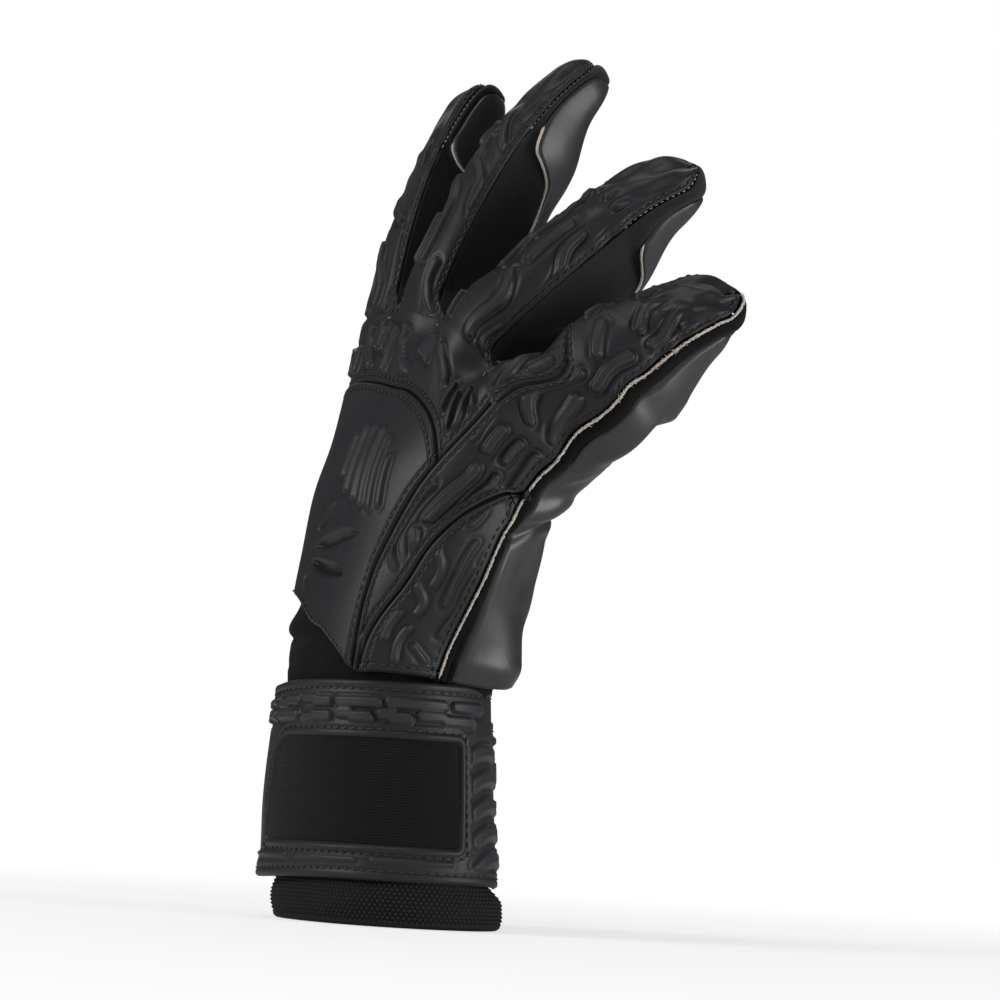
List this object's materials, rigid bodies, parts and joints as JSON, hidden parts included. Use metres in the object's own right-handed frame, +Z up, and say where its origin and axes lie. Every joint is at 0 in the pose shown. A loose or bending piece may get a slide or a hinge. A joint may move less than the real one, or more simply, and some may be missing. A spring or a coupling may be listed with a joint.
{
  "type": "goalkeeper glove",
  "caption": "Pre-curved right-hand goalkeeper glove with an embossed latex back, smooth latex palm, knitted finger gussets and a wrap-round wrist strap.",
  "frame": {"origin": "centre of the cuff hem, on the plane that the glove stands on", "axes": "+Z up along the forearm towards the fingers, +X towards the little finger, +Y towards the palm"},
  "size_m": [0.1496, 0.127, 0.2905],
  "materials": {
    "backhand": "matt charcoal latex foam on a knitted backing, pressed with raised relief",
    "palm_latex": "smooth dark grey latex foam on a knitted backing, with a silky sheen",
    "knit": "black elastic knit",
    "lining": "thin black knitted lining",
    "strap": "matt charcoal latex strap with raised relief",
    "touch_fabric": "black looped fabric and hooks of the closure",
    "raw_edge": "cream raw edge of the cut latex and its threads"
  },
  "bodies": {
    "cuff": {"cuff_hem": "knit", "wrist_sleeve": "knit", "strap_band": "strap", "strap_window": "touch_fabric", "loop_patch": "touch_fabric"},
    "strap_end": {"strap_tail": "strap", "hook_patch": "touch_fabric"},
    "hand": {"backhand_upper": "backhand", "knuckle_dome": "backhand", "backhand_lower": "backhand", "backhand_band": "backhand", "backhand_side": "backhand", "palm_panel": "palm_latex", "little_edge_band": "knit", "thumb_edge_band": "knit", "backhand_lining": "lining", "palm_lining": "lining", "side_seam_cord": "raw_edge"},
    "index": {"index_back": "backhand", "index_palm": "palm_latex", "index_gusset": "knit", "index_lining": "lining"},
    "middle": {"middle_back": "backhand", "middle_palm": "palm_latex", "middle_gusset_inner": "knit", "middle_gusset_outer": "knit", "middle_lining": "lining"},
    "ring": {"ring_back": "backhand", "ring_palm": "palm_latex", "ring_gusset_inner": "knit", "ring_gusset_outer": "knit", "ring_lining": "lining"},
    "little": {"little_back": "backhand", "little_palm": "palm_latex", "little_gusset": "knit", "little_lining": "lining"},
    "thumb": {"thumb_back": "backhand", "thumb_palm": "palm_latex", "thumb_web": "palm_latex", "thumb_lining": "lining"}
  },
  "joints": [
    {"name": "wrist_flex", "type": "hinge", "parent": "cuff", "child": "hand", "pos_m": [-0.005, -0.004, 0.086], "axis": [-0.9997, 0.0052, 0.0256], "range_deg": [-12, 12], "stiffness_Nm_per_rad": 1.2, "deforming": ["wrist_sleeve"]},
    {"name": "strap_peel", "type": "hinge", "parent": "cuff", "child": "strap_end", "pos_m": [0.02834, 0.02446, 0.0433], "axis": [0.1393, 0.1304, -0.9816], "range_deg": [0, 100]},
    {"name": "index_flex", "type": "hinge", "parent": "hand", "child": "index", "pos_m": [-0.04256, 0.01182, 0.19812], "axis": [-0.999, -0.0087, -0.0428], "range_deg": [-6, 58], "stiffness_Nm_per_rad": 0.12, "deforming": ["index_lining"]},
    {"name": "middle_flex", "type": "hinge", "parent": "hand", "child": "middle", "pos_m": [-0.01359, 0.00836, 0.19703], "axis": [-0.9954, 0.0191, 0.0939], "range_deg": [-14, 50], "stiffness_Nm_per_rad": 0.12, "deforming": ["middle_lining"]},
    {"name": "ring_flex", "type": "hinge", "parent": "hand", "child": "ring", "pos_m": [0.017, 0.0034, 0.18191], "axis": [-0.9171, 0.0795, 0.3907], "range_deg": [-25, 40], "stiffness_Nm_per_rad": 0.12, "deforming": ["ring_lining"]},
    {"name": "little_flex", "type": "hinge", "parent": "hand", "child": "little", "pos_m": [0.04447, 0.00173, 0.1611], "axis": [-0.8339, 0.11, 0.5408], "range_deg": [-35, 30], "stiffness_Nm_per_rad": 0.12, "deforming": ["little_lining"]},
    {"name": "thumb_flex", "type": "hinge", "parent": "hand", "child": "thumb", "pos_m": [-0.04537, 0.04104, 0.14933], "axis": [-0.016, 0.6552, -0.7553], "range_deg": [-20, 25], "stiffness_Nm_per_rad": 0.12, "deforming": ["thumb_web"]}
  ]
}
